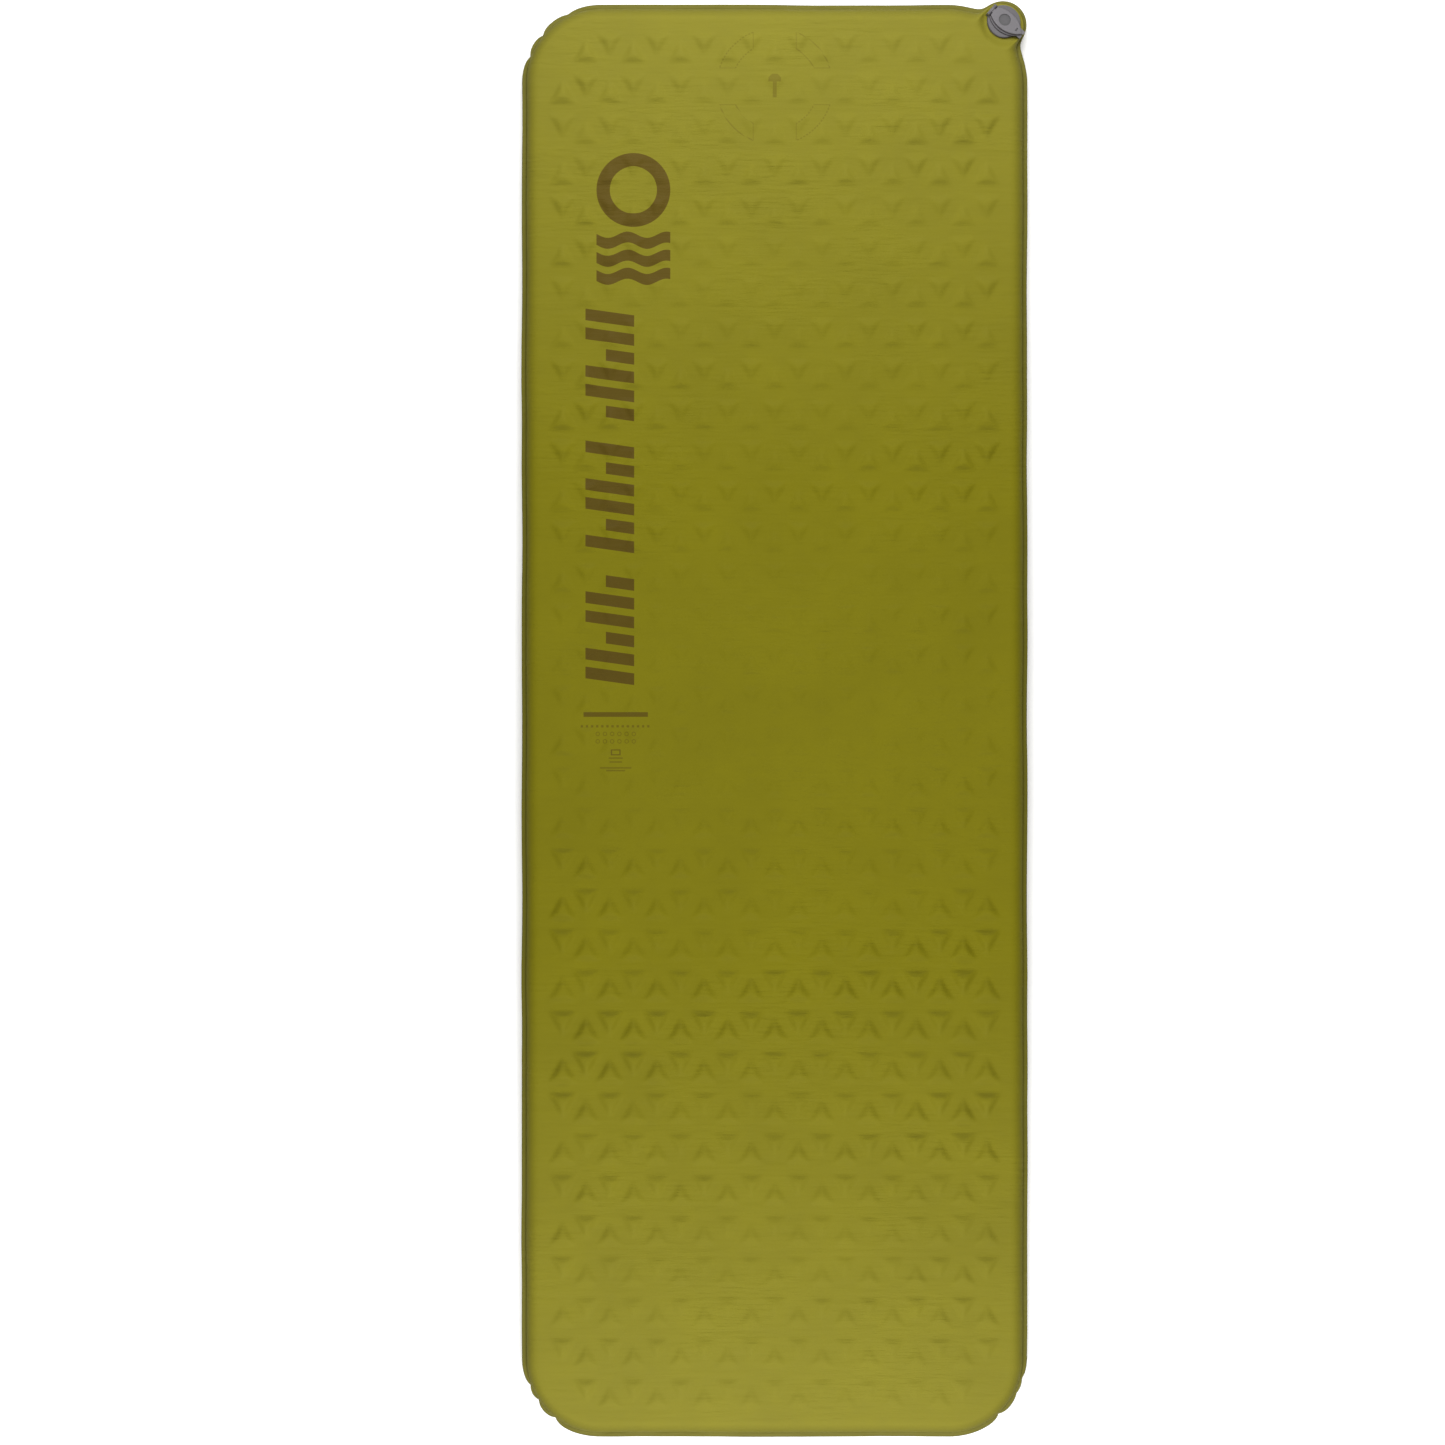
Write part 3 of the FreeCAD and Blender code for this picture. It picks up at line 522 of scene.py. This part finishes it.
# ---------------------------------------------------------------- the print, in places on the face
RING_CENTRE = (-0.180, 0.676)
RING_OUTER = 0.047
RING_INNER = 0.030
WAVE_LENGTH = 0.050
WAVE_HEIGHT = 0.004
WAVE_HALF_BAND = 0.007
WAVE_LEVELS = (0.612, 0.589, 0.566)
BARS_LEFT = -0.241
BARS_RIGHT = -0.179
BARS_TOP = 0.525
BARS_BOTTOM = 0.045
BAR_PITCH = 0.0240
BAR_SLANT = 0.14                # drop for each metre across
BAR_SHARE = 0.62                # of the pitch that is inked
SHORT_BAR_STEP = 0.026          # how much further right a short bar starts
SMALL_PRINT_MIDDLE = -0.2025
DASH_PITCH = 0.0065
SMALL_RING_ACROSS = 0.0092      # from one small ring to the next
SMALL_RING_DOWN = 0.0095        # from one row to the next
SMALL_RING_BAND = (-0.0310, -0.0120)
SHORT_RULES = (                 # half the length, and the place along the pad
    (0.009, -0.0475), (0.008, -0.0525), (0.020, -0.0600), (0.012, -0.0635))
SHORT_RULE_HALF = 0.0009
PATCH_LEVEL = 0.808
PATCH_INNER = 0.055
PATCH_OUTER = 0.074
PATCH_CUT = (0.027, 0.023)      # the outlines stop this far from the axes, across and along
PATCH_LINE = 0.0008             # half the outline's width


def disc(x, y, centre, radius):
    """1 inside a circle on the face."""
    return (x - centre[0]) ** 2 + (y - centre[1]) ** 2 < radius ** 2


def strip(x, y, left, right, low, high):
    """1 inside an upright rectangle on the face."""
    return (x > left) & (x < right) & (y > low) & (y < high)


def emblem(x, y):
    """A plain ring over three short waves."""
    marks = disc(x, y, RING_CENTRE, RING_OUTER) & (1.0 - disc(x, y, RING_CENTRE, RING_INNER))
    wave = (x * (2 * math.pi / WAVE_LENGTH)).sine() * WAVE_HEIGHT
    for level in WAVE_LEVELS:
        band = abs(y - wave - level) < WAVE_HALF_BAND
        marks = marks | (band & (abs(x - RING_CENTRE[0]) < RING_OUTER))
    return marks


def bar_column(x, y):
    """Slanted bars down the side: every third one is short, and every seventh is left out."""
    down = (BARS_TOP - (y + (x - BARS_LEFT) * BAR_SLANT)) / BAR_PITCH
    number = down.whole()
    bar = down - number < BAR_SHARE
    short = (number % 3.0) > 1.5
    gap = (number % 7.0) > 5.5
    edge = BARS_LEFT + short * SHORT_BAR_STEP
    return (bar & (x > edge) & (x < BARS_RIGHT) & (1.0 - gap)
            & (y < BARS_TOP) & (y > BARS_BOTTOM))


def small_print(x, y):
    """A solid rule, a dashed one, two rows of small rings, a plain frame and four short rules."""
    middle = SMALL_PRINT_MIDDLE
    marks = strip(x, y, middle - 0.041, middle + 0.041, 0.005, 0.011) * 0.85
    dashes = ((x / DASH_PITCH) % 1.0) < 0.45
    marks = marks | (strip(x, y, middle - 0.045, middle + 0.045, -0.0085, -0.0055) & dashes) * 0.6
    column = (x / SMALL_RING_ACROSS) % 1.0 - 0.5
    row = ((y - SMALL_RING_BAND[0]) / SMALL_RING_DOWN) % 1.0 - 0.5
    away = (column ** 2 + row ** 2) ** 0.5
    rings = (away > 0.19) & (away < 0.30)
    band = strip(x, y, middle - 0.0276, middle + 0.0276, *SMALL_RING_BAND)
    marks = marks | (band & rings) * 0.5
    frame_out = strip(x, y, middle - 0.0062, middle + 0.0062, -0.0440, -0.0365)
    frame_in = strip(x, y, middle - 0.0047, middle + 0.0047, -0.0427, -0.0378)
    marks = marks | (frame_out & (1.0 - frame_in)) * 0.8
    for half, level in SHORT_RULES:
        rule = strip(x, y, middle - half, middle + half,
                     level - SHORT_RULE_HALF, level + SHORT_RULE_HALF)
        marks = marks | rule * 0.5
    return marks


def patch_outlines(x, y):
    """Four faint dashed arcs at the head and a small arrow between them.

    The arcs are the outline of a ring, cut away near both axes.
    """
    up = y - PATCH_LEVEL
    across, along = abs(x), abs(up)
    away = (across ** 2 + along ** 2) ** 0.5
    circles = (abs(away - PATCH_INNER) < PATCH_LINE) | (abs(away - PATCH_OUTER) < PATCH_LINE)
    corners = (across > PATCH_CUT[0]) & (along > PATCH_CUT[1])
    dashes = (((x + y) / 0.006) % 1.0) < 0.62
    between = (away > PATCH_INNER) & (away < PATCH_OUTER)
    cuts = (abs(across - PATCH_CUT[0]) < PATCH_LINE) | (abs(along - PATCH_CUT[1]) < PATCH_LINE)
    arcs = (circles & corners & dashes) | (cuts & between & corners)
    shaft = (across < 0.0025) & (along < 0.014)
    point = (across + up * 0.9 < 0.018) & (up > 0.006) & (across < 0.008) & (up < 0.016)
    return arcs * 0.34 | (shaft | point) * 0.4


# ---------------------------------------------------------------- finishes
PALE_END_SHEEN = (0.50, 0.50, 0.45)      # painted sheen, standing in for the end lights' reflection, laid thinly over both ends
END_SHEEN_START = 0.3                    # distance from the middle at which it begins
END_SHEEN_LENGTH = 0.6
BORDER_SHEEN = (0.62, 0.60, 0.30)   # of the welded film
# painted shade for the crease and the side border, and also the cut edge's own dark colour
CREASE_SHADE_AND_CUT_EDGE = (0.050, 0.045, 0.000)
CREASE_WIDTH = 1.2 * MM             # of the painted shade in the crease inside the border
RIM_WIDTH = 0.8 * MM                # of the cut edge
SIDE_BAND = 8 * MM                  # border along the long sides, darkened as painted shade
EDGE_SHADE = (0.030, 0.027, 0.000)
EDGE_SHADE_START = 30 * MM          # way in at which the painted shade on the rounded edge starts
EDGE_SHADE_WIDTH = 12 * MM
END_START = 0.83                    # distance from the middle at which the painted shade on the ends deepens
END_LENGTH = 0.05
THREAD = 2 * math.pi / (0.55 * MM)  # of the weave, radians for each metre
HATCH = 2600.0                      # of the welded border, radians for each metre


def fabric_paint(name, colour, ink=None):
    """Coated plain weave: cloudy tones, long creases and small wrinkles in patches.

    The rounded edge is darker, with painted shade that deepens at both ends, and both ends carry a thin
    painted sheen. The welded border is hatched, with painted shade in the crease inside it, painted
    shade along the long sides and a dark cut edge.
    """
    paint = Paint(name)
    x, y, _ = paint.parts(paint.place)
    way = paint.node("ShaderNodeAttribute", {"attribute_name": "way_in", "output": 2})
    cloudy = paint.noise(0.09)
    mottled = paint.noise(0.014)
    streaks = paint.noise(0.010, (9, 1, 9), detail=4.0, roughness=0.6)
    patches = ((paint.noise(0.11, (1.6, 1, 1), detail=2.0) - 0.44) * 7.0).clip()
    wrinkles = paint.noise(0.0050, (6, 1, 6)) * patches
    tone = 0.86 + cloudy * 0.16 + mottled * 0.05 + streaks * 0.05 + wrinkles * 0.03
    base = paint.tint(colour, tone)
    # painted sheen: a pale tone towards both ends that stands in for the end lights' reflection
    end_sheen = ((abs(y) - END_SHEEN_START) / END_SHEEN_LENGTH).clip() * 0.03
    base = paint.mix(end_sheen, base, PALE_END_SHEEN)
    border = way < BORDER
    # painted shade in the crease inside the border; the cut edge is darker in its own colour
    crease = (1.0 - ((way - BORDER) / CREASE_WIDTH) ** 2).clip() * 0.5
    rim = (way < RIM_WIDTH) * 0.6
    # painted shade on the border along the long sides
    at_sides = border & (abs(x) > HALF_WIDTH - SIDE_BAND)
    base = paint.mix(border * 0.05, base, BORDER_SHEEN)
    base = paint.mix(at_sides * 0.25, base, CREASE_SHADE_AND_CUT_EDGE)
    # painted shade on the rounded edge, deeper near both ends
    at_ends = ((abs(y) - END_START) / END_LENGTH).clip()
    at_edge = ((EDGE_SHADE_START - way) / EDGE_SHADE_WIDTH).clip()
    base = paint.mix(at_edge * (0.22 + at_ends * 0.14), base, EDGE_SHADE)
    base = paint.mix(crease | rim, base, CREASE_SHADE_AND_CUT_EDGE)
    rough = 0.68 + mottled * 0.10 - border * 0.12
    if ink is not None:
        marks = emblem(x, y) | bar_column(x, y) | small_print(x, y) | patch_outlines(x, y)
        marks = marks * (0.90 + mottled * 0.08)
        base = paint.mix(marks, base, ink)
        rough = rough - marks * 0.06
    weave = (x * THREAD).sine() * (y * THREAD).sine()
    hatch = ((x + y) * HATCH).sine() * ((x - y) * HATCH).sine() * border
    normal = paint.bump(streaks, 1.6 * MM, 0.7)
    normal = paint.bump(wrinkles, 1.7 * MM, 0.8, normal)
    normal = paint.bump(weave * 0.02 + hatch * 0.10, 1.0 * MM, 0.5, normal)
    return paint.finish(Base_Color=base, Roughness=rough, Normal=normal,
                        Specular_IOR_Level=0.12)


def recess_painted_shade(paint):
    """Painted shade in the upper lid's finger recess, most of it round the recess's wall.

    The distance from the valve's axis to the fourth power, inside the recess and above its floor.
    """
    offset = [part - centre for part, centre in zip(paint.parts(paint.place), VALVE_SEAT)]
    along = sum(part * up for part, up in zip(offset, VALVE_UP))
    away = (sum(part ** 2 for part in offset) - along ** 2) ** 0.5
    inside = (away < RECESS_RADIUS) & (along > RECESS_FLOOR)
    return inside * (0.58 + 0.34 * ((away / RECESS_RADIUS) ** 4))


def plastic_paint(name, colour, roughness, grain=0.35 * MM, painted_shade=None):
    """Moulded plastic: a fine grain, faint flow marks and worn, shinier patches.

    Where given, the last argument is a function that says how dark the painted shade is.
    """
    paint = Paint(name)
    flow = paint.noise(0.006, (1, 3, 1))
    wear = paint.noise(0.0022, detail=4.0)
    tone = 0.93 + flow * 0.10 + wear * 0.05
    # painted shade darkens the tone where it is given
    if painted_shade is not None:
        tone = tone * (1.0 - painted_shade(paint))
    fine = paint.noise(grain, detail=2.0)
    return paint.finish(Base_Color=paint.tint(colour, tone), Roughness=roughness - 0.06 + wear * 0.14,
                        Normal=paint.bump(fine, 0.12 * MM, 0.45), Specular_IOR_Level=0.45)


def foam_paint():
    """Open-cell foam: cells of about a millimetre with dark pores, their darkness painted shade."""
    paint = Paint("open_cell_foam")
    cells = paint.node("ShaderNodeTexVoronoi", {"feature": "F1"}, paint.place, Scale=1100.0)
    cloudy = paint.noise(0.03)
    # painted shade in the foam's pores
    pores = (0.9 - cells * 1.4).clip()
    base = paint.mix(pores, (0.56, 0.50, 0.34), (0.86, 0.83, 0.70))
    base = paint.mix(cloudy * 0.25, base, (0.80, 0.72, 0.50))
    normal = paint.bump(pores, 0.5 * MM, 0.8)
    return paint.finish(Base_Color=base, Roughness=0.9 + cloudy * 0.08, Normal=normal,
                        Specular_IOR_Level=0.1)


def steel_paint():
    """Drawn wire: fine scratches along it."""
    paint = Paint("drawn_wire")
    scratches = paint.noise(0.0002, (1, 1, 30))
    base = paint.mix(scratches, (0.42, 0.42, 0.43), (0.62, 0.62, 0.63))
    return paint.finish(Base_Color=base, Roughness=0.26 + scratches * 0.2, Metallic=1.0,
                        Normal=paint.bump(scratches, 0.05 * MM, 0.3))


def dress(material, *nodes):
    """Give CAD nodes a finish."""
    for name in nodes:
        node = frame["nodes"][name]
        node.data.materials.clear()
        node.data.materials.append(material)


# ---------------------------------------------------------------- sizes and colours to change
class PadCovers(bpy.types.PropertyGroup):
    """The two fabric covers."""
    top_spacing: FloatProperty(name="Top Grid", description="Distance between the top's grid lines",
                               default=2.3 * MM, unit="LENGTH")
    bottom_spacing: FloatProperty(name="Bottom Grid",
                                  description="Distance between the underside's grid lines",
                                  default=4.0 * MM, unit="LENGTH")
    bulge_low: FloatProperty(name="Low Bulge", description="Fabric over the smallest foam holes",
                             default=2.0 * MM, unit="LENGTH")
    bulge_high: FloatProperty(name="High Bulge", description="Fabric over the largest foam holes",
                              default=5.0 * MM, unit="LENGTH")
    top_colour: FloatVectorProperty(name="Top", description="Colour of the top fabric",
                                    default=(0.176, 0.158, 0.0025), subtype="COLOR")
    bottom_colour: FloatVectorProperty(name="Underside", description="Colour of the lower fabric",
                                       default=(0.150, 0.135, 0.0040), subtype="COLOR")
    ink_colour: FloatVectorProperty(name="Print", description="Colour of the printed marks",
                                    default=(0.080, 0.0505, 0.0040), subtype="COLOR")


class PadValve(bpy.types.PropertyGroup):
    """The valve's plastics and rubbers."""
    body_colour: FloatVectorProperty(name="Base and Lid", description="Base and lower lid",
                                     default=(0.068, 0.062, 0.068), subtype="COLOR")
    cap_colour: FloatVectorProperty(name="Cap", description="Upper lid",
                                    default=(0.086, 0.079, 0.087), subtype="COLOR")
    button_colour: FloatVectorProperty(name="Button", description="Release button",
                                       default=(0.06, 0.055, 0.06), subtype="COLOR")
    roughness: FloatProperty(name="Roughness", description="Roughness of the plastics",
                             default=0.48, min=0, max=1, subtype="FACTOR")


class PadStage(bpy.types.PropertyGroup):
    """Camera, lights and floor."""
    lens: FloatProperty(name="Lens", description="Focal length", default=100.0, unit="CAMERA")
    height: FloatProperty(name="Camera Height", description="Camera above the floor",
                          default=5.150, unit="LENGTH")
    end_power: FloatProperty(name="End Lights", description="Power of each end's light",
                             default=34.5, unit="POWER")
    fill: FloatProperty(name="Fill", description="Brightness of the surroundings", default=0.18,
                        min=0, max=1, subtype="FACTOR")


# ---------------------------------------------------------------- the stage
CAMERA_PLACE = (-0.0665, -0.0022)   # across and along, so the pad is right of the view's middle
SENSOR_WIDTH = 36
FARTHEST_SEEN = 100
LIGHT_OUT = 1.5                     # from the pad's middle to the light at each end
LIGHT_HEIGHT = 1.2
LIGHT_SIZE = (1.6, 0.9)
LIGHT_AIM = 0.75                    # from the pad's middle to the place each light points at
SURROUNDINGS = (1.0, 0.99, 0.97, 1)
FLOOR_REACH = 12.0                  # from the middle to the floor's sides
FLOOR_TONES = ((0.90, 0.90, 0.90), (0.92, 0.92, 0.92))
FLOOR_GLOW = 0.20


# ---------------------------------------------------------------- operators
class PAD_OT_top_cover(bpy.types.Operator):
    """Make the upper cover with its rounded edge, raised triangles and valve seat"""
    bl_idname = "pad.top_cover"
    bl_label = "Top Cover"

    def execute(self, context):
        covers = context.scene.pad_covers
        x, y, way, rise = wrap(covers.top_spacing)
        sideways, upright = seam_wander(x, y, way)
        x, y = x + sideways, y + sideways
        to_lobe = np.hypot(x - LOBE[0], y - LOBE[1])
        flat = ease((to_lobe - WELL_RADIUS) / WELL_SLOPE)
        on_face = ease((way - BORDER - FACE_START) / FACE_BLEND) * flat
        face = FACE_LEVEL + on_face * (triangle_bulges(x, y, covers.bulge_low, covers.bulge_high)
                                       + face_waves(x, y))
        roof = seat_height(x, y) * (1 - flat) + face * flat
        weld = weld_level(way, 1)
        z = weld + rise * (roof - weld) + upright
        points = np.stack([x, y, z], axis=-1)
        offset = points - np.array(VALVE_SEAT)
        up = np.array(VALVE_UP)
        from_axis = np.linalg.norm(offset - (offset @ up)[..., None] * up, axis=-1)
        keep = face_centres(from_axis) > NECK_OPENING
        piece, used = grid_piece("top_fabric_cover", points, keep, upward=True)
        keep_way(piece, way, used)
        paint = fabric_paint("olive_coated_fabric", tuple(covers.top_colour),
                             (*covers.ink_colour, 1.0))
        piece.data.materials.append(paint)
        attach(piece, "pad")
        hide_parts("top_cover")
        return {"FINISHED"}


class PAD_OT_bottom_cover(bpy.types.Operator):
    """Make the lower cover, flat on the floor, with the lobe's raised underside"""
    bl_idname = "pad.bottom_cover"
    bl_label = "Bottom Cover"

    def execute(self, context):
        covers = context.scene.pad_covers
        x, y, way, rise = wrap(covers.bottom_spacing)
        sideways, upright = seam_wander(x, y, way)
        x, y = x + sideways, y + sideways
        centre = [HALF_WIDTH - CORNER_RADIUS, HALF_LENGTH - CORNER_RADIUS]
        out = np.hypot(np.maximum(x - centre[0], 0), np.maximum(y - centre[1], 0))
        past_body = ease((out - CORNER_RADIUS + LOBE_RAMP_START) / LOBE_RAMP)
        near_lobe = 1 - ease((np.hypot(x - LOBE[0], y - LOBE[1]) - LOBE_RADIUS) / LOBE_FADE)
        floor = LOBE_FLOOR * past_body * near_lobe
        weld = weld_level(way, -1)
        z = weld - rise * (weld - floor) + upright
        piece, used = grid_piece("bottom_fabric_cover", np.stack([x, y, z], axis=-1),
                                 np.ones(np.array(x.shape) - 1, bool), upward=False)
        keep_way(piece, way, used)
        paint = fabric_paint("underside_coated_fabric", tuple(covers.bottom_colour))
        piece.data.materials.append(paint)
        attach(piece, "pad")
        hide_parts("bottom_cover")
        return {"FINISHED"}


class PAD_OT_inner_parts(bpy.types.Operator):
    """Finish the foam core and the weld ring inside the covers"""
    bl_idname = "pad.inner_parts"
    bl_label = "Foam and Weld Ring"

    def execute(self, context):
        dress(foam_paint(), "foam_core")
        dress(plastic_paint("weld_film_satin", (0.11, 0.10, 0.07), 0.40), "valve_weld_flange")
        return {"FINISHED"}


class PAD_OT_valve(bpy.types.Operator):
    """Finish the valve's base, lids, button, seals and pin"""
    bl_idname = "pad.valve"
    bl_label = "Valve"

    def execute(self, context):
        valve = context.scene.pad_valve
        body, cap = tuple(valve.body_colour), tuple(valve.cap_colour)
        dress(plastic_paint("valve_grey_plastic", body, valve.roughness),
              "valve_base", "deflate_lid", "check_insert", "flap_washer")
        # the cap gets painted shade in its finger recess
        dress(plastic_paint("cap_grey_plastic", cap, valve.roughness - 0.06, painted_shade=recess_painted_shade),
              "inflate_cap")
        dress(plastic_paint("button_dark_plastic", tuple(valve.button_colour), 0.42),
              "release_button")
        dress(plastic_paint("seal_black_rubber", (0.012, 0.012, 0.012), 0.62, 0.2 * MM),
              "deflate_seal", "inflate_seal")
        dress(plastic_paint("flap_pale_silicone", (0.50, 0.50, 0.48), 0.34, 0.2 * MM),
              "check_flap")
        dress(steel_paint(), "hinge_pin")
        return {"FINISHED"}


class PAD_OT_stage(bpy.types.Operator):
    """Make the camera, the soft lights at both ends, the surroundings and the floor"""
    bl_idname = "pad.stage"
    bl_label = "Stage"

    def execute(self, context):
        scene, stage = context.scene, context.scene.pad_stage
        camera_data = bpy.data.cameras.new("camera")
        camera_data.lens = stage.lens
        camera_data.sensor_width = SENSOR_WIDTH
        camera_data.clip_end = FARTHEST_SEEN
        camera = bpy.data.objects.new("camera", camera_data)
        camera.location = (*CAMERA_PLACE, stage.height)
        scene.collection.objects.link(camera)
        scene.camera = camera
        for end in (-1, 1):
            light_data = bpy.data.lights.new(f"end_light_{end}", "AREA")
            light_data.energy = stage.end_power
            light_data.shape = "RECTANGLE"
            light_data.size, light_data.size_y = LIGHT_SIZE
            light = bpy.data.objects.new(light_data.name, light_data)
            light.location = (0, end * LIGHT_OUT, LIGHT_HEIGHT)
            aim = Vector((0, end * LIGHT_AIM, 0)) - light.location
            light.rotation_mode = "QUATERNION"
            light.rotation_quaternion = aim.to_track_quat("-Z", "Y")
            scene.collection.objects.link(light)
        world = bpy.data.worlds.new("surroundings")
        world.use_nodes = True
        background = world.node_tree.nodes["Background"]
        background.inputs["Color"].default_value = SURROUNDINGS
        background.inputs["Strength"].default_value = stage.fill
        scene.world = world
        scene.view_settings.view_transform = "Standard"
        floor_mesh = bpy.data.meshes.new("floor")
        corners = [(side_x * FLOOR_REACH, side_y * FLOOR_REACH, 0)
                   for side_x, side_y in ((-1, -1), (1, -1), (1, 1), (-1, 1))]
        floor_mesh.from_pydata(corners, [], [(0, 1, 2, 3)])
        floor = bpy.data.objects.new("floor", floor_mesh)
        scene.collection.objects.link(floor)
        paint = Paint("pale_floor")
        paper = paint.noise(0.3, detail=2.0)
        floor_mesh.materials.append(paint.finish(
            Base_Color=paint.mix(paper, *FLOOR_TONES), Roughness=0.9,
            Emission_Color=(1.0, 1.0, 1.0, 1.0), Emission_Strength=FLOOR_GLOW))
        return {"FINISHED"}


class VIEW3D_PT_pad(bpy.types.Panel):
    """The pad's pieces and sizes"""
    bl_label = "Sleeping Pad"
    bl_space_type = "VIEW_3D"
    bl_region_type = "UI"
    bl_category = "Pad"

    def draw(self, context):
        for name in GROUPS:
            settings = getattr(context.scene, name)
            box = self.layout.box()
            for item in settings.bl_rna.properties:
                if item.identifier in settings.__annotations__:
                    box.prop(settings, item.identifier)
        for operator in OPERATORS:
            self.layout.operator(operator.bl_idname)


GROUPS = {"pad_covers": PadCovers, "pad_valve": PadValve, "pad_stage": PadStage}
OPERATORS = (PAD_OT_top_cover, PAD_OT_bottom_cover, PAD_OT_inner_parts, PAD_OT_valve,
             PAD_OT_stage)


def register():
    for name, group in GROUPS.items():
        bpy.utils.register_class(group)
        setattr(bpy.types.Scene, name, PointerProperty(type=group))
    for kind in (*OPERATORS, VIEW3D_PT_pad):
        bpy.utils.register_class(kind)


def unregister():
    for kind in (VIEW3D_PT_pad, *OPERATORS[::-1]):
        bpy.utils.unregister_class(kind)
    for name, group in GROUPS.items():
        delattr(bpy.types.Scene, name)
        bpy.utils.unregister_class(group)


def main():
    register()
    bpy.ops.pad.top_cover()
    bpy.ops.pad.bottom_cover()
    bpy.ops.pad.inner_parts()
    bpy.ops.pad.valve()
    bpy.ops.pad.stage()


if __name__ == "__main__":
    main()
